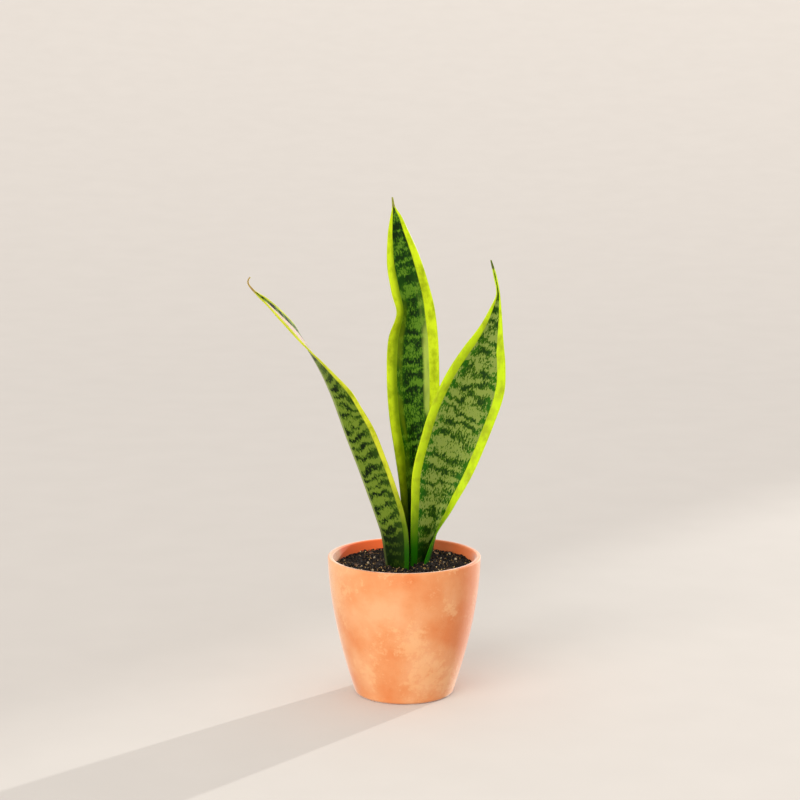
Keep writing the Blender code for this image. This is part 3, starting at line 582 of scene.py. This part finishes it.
# A station is the keel's x, y and height above the soil in millimetres, then width and bearing of
# the left and the right half. A bearing is in degrees: 0 to the right, -90 to the front.
STATIONS = {
    "leaf_left": [
        (-9, -1, None, 15, -40, 11, 38), (-14.3, -2, 0, 22, -36, 14, 34), (-18, 0, 24, 25.5, -34, 17, 36),
        (-22, 1, 37, 27, -32, 20, 42), (-30, 2, 60, 27.5, -30, 23, 48), (-36, 2, 77, 27.5, -30, 24, 50),
        (-45.7, 2, 103, 27, -30, 24, 52), (-51.5, 2, 120, 24.5, -35, 22, 60),
        (-56.8, 1, 135, 22.6, -42, 20, 68), (-65.6, 0, 155, 18.5, -63, 17, 83),
        (-76.6, 0, 174, 15, -84, 14.5, 97), (-85.7, -1, 187, 11.5, -96, 11.5, 84),
        (-95.6, -2, 198, 8, -101, 8, 76), (-105.4, -3, 208, 4, -105, 4, 62),
        (-113.4, -3, 215, 1.2, -120, 1.2, 30), (-118, -3, 220, 0.7, -125, 0.7, 20),
        (-120, -3, 223.5, 0.6, -125, 0.6, 20), (-119.6, -3, 226.3, 0.55, -125, 0.55, 20),
        (-118.2, -3, 228.2, 0.5, -125, 0.5, 20)],
    "leaf_middle": [
        (8, 17.5, None, 8, -140, 8, -40), (8.6, 20, 0, 12.2, -138, 12.2, -42),
        (9.3, 20, 24, 12.8, -145, 12.8, -35), (9.7, 20, 58, 15.2, -150, 15.2, -30),
        (9.3, 20, 92, 19.4, -153, 19.4, -27), (7.6, 19, 121, 21.6, -155, 21.6, -25),
        (6.8, 18, 149, 22.3, -156, 22.3, -24), (6.4, 17, 178, 20.5, -157, 21.3, -22),
        (5.6, 16, 201, 18, -131, 19, -20), (3.6, 15, 218, 16, -150, 16.3, -18),
        (-0.6, 14, 239, 13.4, -165, 13.4, -15), (-4.5, 13, 258, 8.7, -167, 9.2, -13),
        (-6.4, 12, 272, 4.8, -165, 4.8, -15), (-8.2, 12, 280.5, 1.3, -160, 1.3, -20),
        (-9.2, 12, 288, 0.6, -160, 0.6, -20)],
    "leaf_right": [
        (15, 6, None, 14, -140, 9, -100), (19.5, 8, 0, 20.4, -139, 12.5, -106),
        (22.7, 9, 14.5, 24.4, -139, 13.2, -100), (25, 9.5, 30, 26.9, -139, 13.7, -80),
        (28.1, 9.5, 48, 29.4, -142, 15, -47), (32.7, 9, 71, 31.7, -148, 19.5, -24),
        (39.6, 7.5, 94, 31.7, -153, 22.3, -20), (46.5, 6, 121, 29.5, -156, 25.4, -18),
        (54.1, 4.5, 146, 25, -158, 25.2, -15), (60.9, 3.5, 167, 18.7, -158, 18.6, -16),
        (66.9, 2.5, 186, 11.5, -154, 10, -20), (70.6, 1.5, 203, 5.5, -153, 4.4, -20),
        (72, 1, 215, 1.7, -150, 1.7, -30), (69.5, 0, 229, 1.4, -150, 1.4, -30),
        (66.3, -1, 241, 0.6, -150, 0.6, -30)],
}


def smooth_rows(stations):
    """Rows through every station on a smooth curve, each with its distance along the leaf from the soil."""
    table = [(x, y, LEAF_SEAT if z is None else z, *rest) for x, y, z, *rest in stations]
    run = [0.0]
    for a, b in zip(table, table[1:]):
        run.append(run[-1] + (Vector(b[:3]) - Vector(a[:3])).length)
    last = len(table) - 1
    columns = range(len(table[0]))
    slopes = []
    for i in range(last + 1):
        before, after = max(i - 1, 0), min(i + 1, last)
        slopes.append([(table[after][k] - table[before][k]) / (run[after] - run[before]) for k in columns])
    rows = []
    for i in range(last):
        length = run[i + 1] - run[i]
        count = math.ceil(length / ROW_STEP)
        for j in range(count):
            t = j / count
            start, end = (1 + 2 * t) * (1 - t) ** 2, t * t * (3 - 2 * t)
            leave, arrive = t * (1 - t) ** 2 * length, t * t * (t - 1) * length
            rows.append(([start * table[i][k] + end * table[i + 1][k] + leave * slopes[i][k]
                          + arrive * slopes[i + 1][k] for k in columns], run[i] + length * t - run[1]))
    rows.append((list(table[last]), run[last] - run[1]))
    return rows


def section(row, along):
    """One ring round the leaf: its outer face, a rounded margin, its inner face and the other margin.
    Each point comes with its distance across from the keel and its face, 0 outside and 1 inside."""
    x, y, z, left, left_turn, right_width, right_turn = row
    place = Vector((x, y, z))
    back = (Vector((0, 1, 0)) - along * along.y).normalized()
    right = back.cross(along)
    turns = math.radians(left_turn), math.radians(right_turn)
    to_left, to_right = (right * math.cos(a) + back * math.sin(a) for a in turns)
    middle = sum(turns) / 2
    inward = right * math.cos(middle) + back * math.sin(middle)
    width = (left + right_width) / 2
    edge = min(MARGIN_THICKNESS, 0.9 * width)
    fold = max(math.sin(max(abs(turns[1] - turns[0]) / 2, 0.01)), LEAST_FOLD)
    keel_thickness = max(edge, LEAF_THICKNESS * min(1, width / FULL_HALF_WIDTH) ** THINNING) / fold
    outer_ends = place + to_left * left, place + to_right * right_width
    inner_ends = (outer_ends[0] + (inward - to_left * inward.dot(to_left)).normalized() * edge,
                  outer_ends[1] + (inward - to_right * inward.dot(to_right)).normalized() * edge)
    ring = []
    for keel, ends, face in ((place, outer_ends, 0), (place + inward * keel_thickness, inner_ends, 1)):
        across, rise = (ends[1] - ends[0]) / 2, (ends[1] + ends[0]) / 2 - keel
        full = math.hypot(1, KEEL_SOFTNESS) - KEEL_SOFTNESS
        for i in range(-HALF_SPANS, HALF_SPANS + 1):
            s = i / HALF_SPANS * (1 if face == 0 else -1)
            bend = (math.hypot(s, KEEL_SOFTNESS) - KEEL_SOFTNESS) / full
            ring.append((keel + across * s + rise * bend, s * (right_width if s > 0 else left), face))
        side = 1 if face == 0 else 0
        out = (to_right if face == 0 else to_left) * edge * MARGIN_BULGE
        across_margin = right_width if face == 0 else -left
        ring.append(((outer_ends[side] + inner_ends[side]) / 2 + out, across_margin, 0.5))
    return ring, left, right_width


def grow_leaf(node):
    """Loft a leaf through its sections and write on it where each point lies: attributes in millimetres
    for how far it is across from the keel, from its margin, along from the soil and from the tip, and for
    its half's width, and one for its face."""
    rows = smooth_rows(STATIONS[node])
    whole = rows[-1][1]
    base = Vector((0, 0, SOIL_LEVEL))
    shape = bmesh.new()
    marks = {name: shape.verts.layers.float.new(name) for name in MARKS}
    loops = []
    for i, (row, run) in enumerate(rows):
        before, after = rows[max(i - 1, 0)][0], rows[min(i + 1, len(rows) - 1)][0]
        along = Vector((0, 0, 1)) if i == 0 else (Vector(after[:3]) - Vector(before[:3])).normalized()
        ring, left, right = section(row, along)
        loop = []
        for point, across, face in ring:
            vert = shape.verts.new(base + point * MM)
            half = right if across > 0 else left
            values = (across, half - abs(across), half, run, whole - run, face)
            for name, value in zip(MARKS, values):
                vert[marks[name]] = value
            loop.append(vert)
        loops.append(loop)
    for low, high in zip(loops, loops[1:]):
        for k in range(len(low)):
            shape.faces.new((low[k - 1], low[k], high[k], high[k - 1]))
    for end in (loops[0], loops[-1]):
        shape.faces.new(end)
    bmesh.ops.recalc_face_normals(shape, faces=shape.faces)
    mesh = bpy.data.meshes.new(node)
    shape.to_mesh(mesh)
    shape.free()
    leaf = bpy.data.objects.new(node.replace("leaf", "blade"), mesh)
    bpy.context.collection.objects.link(leaf)
    leaf.select_set(True)
    bpy.context.view_layer.objects.active = leaf
    bpy.ops.object.shade_smooth()
    bpy.ops.object.select_all(action='DESELECT')
    return leaf


def leaf_skin(name, seed, margin, light, mid, dark, lush_against_sheen, light_share, edge, foot, tip, tip_length,
              period=12, banding=0.26, comb=0.9, left_shade=0.0, stripe=0, keel_sheen=0, glare_patch=None):
    """Waxy leaf skin over wet tissue that light goes a few millimetres into. All sizes are in millimetres.
    Dark and light bands cross the blade once in a period, as strongly as banding says, and comb out along
    it in teeth. Lush green shows between them beside the margins, partly the leaf's own colour and partly
    painted, as it leaves the middle of the blade greyer for a painted sheen. The margins are as wide as
    margin says and have three colours: one at the base and two above it. Left shade darkens the inner part
    of the left one. The blade is dark up to its foot's height, and its drawn-out tip is dry. A stripe is a
    band beside the margin, olive on the left and paler on the right, where the paler tone is a painted
    highlight. The second-to-last argument gives how far from the keel a pale painted sheen runs along the
    keel's outside, and the last gives where, counted from the tip, the left half's inside is painted
    pinkish white, a painted highlight of the low lamp's glare."""
    material, tree, shader = new_material(
        name, 0.4, 1.45, Subsurface_Weight=0.5, Subsurface_Radius=(0.9, 1.0, 0.2), Subsurface_Scale=3 * MM,
        Specular_IOR_Level=0.08)
    across, from_margin, half_width, along, from_tip, face = (
        add_node(tree, "ShaderNodeAttribute", attribute_name=mark).outputs["Fac"] for mark in MARKS)

    def streaks(width, length, detail, offset):
        """Noise in grains of a width and length, with other grains inside the leaf than outside."""
        x = add_node(tree, "ShaderNodeMath", {0: across, 1: width}, operation='DIVIDE')
        y = add_node(tree, "ShaderNodeMath", {0: along, 1: length}, operation='DIVIDE')
        z = add_node(tree, "ShaderNodeMath", {0: face, 1: 3.0, 2: seed + offset}, operation='MULTIPLY_ADD')
        place = add_node(tree, "ShaderNodeCombineXYZ", {0: x, 1: y, 2: z})
        return add_node(tree, "ShaderNodeTexNoise", {"Vector": place, "Scale": 1.0, "Detail": detail,
                                                     "Roughness": 0.6})

    def marked(ground, cover, strength, *limits):
        """A ground with a cover over it, as strong as every limit lets it be. A limit is a value and the two
        places between which the cover softly rises from nothing to all."""
        for value, nothing, full in limits:
            rise = add_node(tree, "ShaderNodeMapRange",
                            {"Value": value, "From Min": nothing, "From Max": full},
                            interpolation_type='SMOOTHSTEP')
            strength = add_node(tree, "ShaderNodeMath", {0: rise, 1: strength}, operation='MULTIPLY')
        return add_node(tree, "ShaderNodeMix", {"Factor": strength, "A": ground, "B": cover},
                        data_type='RGBA')

    # Bands: a turn is one dark and one light band. A slow wander, a zigzag across the blade and the
    # teeth of the comb push the bands to and fro.
    zigzag = streaks(7, 30, 2.0, 11.0)
    turns = add_node(tree, "ShaderNodeMath", {0: along, 1: period}, operation='DIVIDE')
    for push, weight in ((streaks(26, 24, 1.0, 0.0), 2.4), (zigzag, 1.3), (streaks(1.2, 6, 2.0, 23.0), comb)):
        turns = add_node(tree, "ShaderNodeMath", {0: push, 1: weight, 2: turns}, operation='MULTIPLY_ADD')
    angle = add_node(tree, "ShaderNodeMath", {0: turns, 1: 2 * math.pi}, operation='MULTIPLY')
    wave = add_node(tree, "ShaderNodeMath", {0: angle}, operation='SINE')

    # Tone: fine teeth and wide clouds break the bands up, and it sinks at the ragged foot and the tip.
    # Noise is 0.5 on average, so half of its weight comes off the start.
    ragged_foot = add_node(tree, "ShaderNodeMath", {0: zigzag, 1: 24.0, 2: along}, operation='MULTIPLY_ADD')
    foot_limit = (ragged_foot, foot + 34, foot + 8)
    tip_limit = (from_tip, 70, 20)
    at_foot, at_tip = (
        add_node(tree, "ShaderNodeMapRange", {"Value": value, "From Min": nothing, "From Max": full},
                 interpolation_type='SMOOTHSTEP') for value, nothing, full in (foot_limit, tip_limit))
    teeth, clouds = 2.0, 1.3
    tone = light_share - (teeth + clouds) / 2
    for part, weight in ((wave, banding), (streaks(1.2, 2.4, 2.0, 37.0), teeth),
                         (streaks(9, 10, 1.0, 43.0), clouds), (at_foot, -0.42), (at_tip, -0.12)):
        tone = add_node(tree, "ShaderNodeMath", {0: part, 1: weight, 2: tone}, operation='MULTIPLY_ADD')
    skin = add_node(tree, "ShaderNodeValToRGB", {0: tone}, [
        (0.2, linear(dark)), (0.36, linear(mid)), (0.48, linear(mid)), (0.62, linear(light))])
    # Lush green beside the margins is partly the leaf's own colour and partly painted: it leaves the middle
    # of the blade greyer, as a painted sheen.
    skin = marked(skin, linear(lush_against_sheen), 0.45, (from_margin, margin + 9, margin + 1), (tone, 0.62, 0.42),
                  (half_width, 10, 20))
    # Painted sheen: a pale strip along the outside of the keel.
    if keel_sheen:
        from_keel = add_node(tree, "ShaderNodeMath", {0: across}, operation='ABSOLUTE')
        skin = marked(skin, linear("8C9A58"), 0.8, (from_keel, keel_sheen + 1, keel_sheen - 1),
                      (face, 0.4, 0.1))
    skin = marked(skin, linear("0A1E05"), 0.75, foot_limit)

    # Margin: yellow in soft clouds, green down at the base, and freckled green along its inner part.
    yellow = add_node(tree, "ShaderNodeValToRGB", {0: streaks(8, 12, 3.0, 51.0)},
                      [(0.34, linear(edge[1])), (0.56, linear(edge[2]))])
    yellow = marked(yellow, linear("4E7000"), left_shade, (across, 1, -1), (from_margin, 2, 7))
    yellow = marked(yellow, linear(edge[0]), 1.0, (along, foot + 60, 8))
    freckles = streaks(1.2, 2.6, 2.0, 91.0)
    yellow = marked(yellow, linear("3C6C04"), 0.5, (freckles, 0.62, 0.7), (from_margin, 3, 8))

    # The blade begins beyond the margin's wavy inner edge. Where the leaf is narrow, the margin takes
    # at most 0.42 of the half width.
    most = add_node(tree, "ShaderNodeMath", {0: half_width, 1: 0.42}, operation='MULTIPLY')
    inner_edge = add_node(tree, "ShaderNodeMath", {0: most, 1: margin}, operation='MINIMUM')
    wavy = add_node(tree, "ShaderNodeMath", {0: zigzag, 1: 1.4, 2: from_margin}, operation='MULTIPLY_ADD')
    centred = add_node(tree, "ShaderNodeMath", {0: wavy, 1: 0.7}, operation='SUBTRACT')
    beyond = add_node(tree, "ShaderNodeMath", {0: centred, 1: inner_edge}, operation='SUBTRACT')
    # The stripe is the leaf's own grey-green band; its paler tone on the right half is a painted highlight.
    if stripe:
        cloudy = streaks(14, 40, 2.0, 61.0)
        pale = marked(linear("5C6E08"), linear("A2B44C"), 1.0, (across, -1, 1))
        skin = marked(skin, pale, 0.85, (cloudy, 0.3, 0.6), (along, 40, 110), (from_tip, 60, 120),
                      (beyond, stripe, stripe - 3))
    # Painted highlight: near the tip, the left half's inside is painted pinkish white for the low lamp's
    # glare on it.
    if glare_patch:
        ragged_end = add_node(tree, "ShaderNodeMath", {0: streaks(1.2, 40, 2.0, 81.0), 1: 50.0, 2: from_tip},
                              operation='MULTIPLY_ADD')
        skin = marked(skin, linear("C9B2A8"), 1.0, (from_tip, glare_patch[0], glare_patch[0] + 6),
                      (ragged_end, glare_patch[1] + 40, glare_patch[1] + 5), (face, 0.6, 0.9), (across, -0.8, -1.6))
    skin = marked(skin, yellow, 1.0, (beyond, 0.4, -0.4))
    skin = marked(skin, linear(tip), 1.0, (from_tip, tip_length, tip_length * 0.7))

    # Fine ribs under the wax run along the leaf, 0.9 mm apart.
    ribs = add_node(tree, "ShaderNodeBump", {"Strength": 0.3, "Distance": 0.25 * MM,
                                             "Height": streaks(0.9, 60, 1.0, 71.0)})
    tree.links.new(skin.outputs[2], shader.inputs["Base Color"])
    tree.links.new(ribs.outputs[0], shader.inputs["Normal"])
    return material


LEAF_LOOKS = {
    "leaf_left": {
        "seed": 3.0, "margin": 3.0, "light": "647A24", "mid": "405A12", "dark": "0C1A04", "lush_against_sheen": "3A5C0C",
        "light_share": 0.5, "edge": ("1C5004", "96A010", "BCC030"), "foot": 16, "tip": "94794A",
        "tip_length": 17, "period": 8.5, "banding": 0.34, "comb": 0.75, "keel_sheen": 4,
        "glare_patch": (22, 80)},
    "leaf_middle": {
        "seed": 140.0, "margin": 8.2, "light": "52781A", "mid": "264E04", "dark": "0E2404", "lush_against_sheen": "1E6000",
        "light_share": 0.37, "edge": ("0C3202", "8E9E0A", "B6C818"), "foot": 46, "tip": "7A7A3C",
        "tip_length": 9, "left_shade": 0.75, "stripe": 6},
    "leaf_right": {
        "seed": 270.0, "margin": 7.0, "light": "7A8C3E", "mid": "3A5C0A", "dark": "1A3608", "lush_against_sheen": "227002",
        "light_share": 0.5, "edge": ("1E6402", "98A81C", "B2CA18"), "foot": 10, "tip": "4A561E",
        "tip_length": 8, "left_shade": 0.35},
}
for node, look in LEAF_LOOKS.items():
    leaf = grow_leaf(node)
    leaf.data.materials.append(leaf_skin(node + "_skin", **look))
    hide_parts(node)
    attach(leaf, "root")
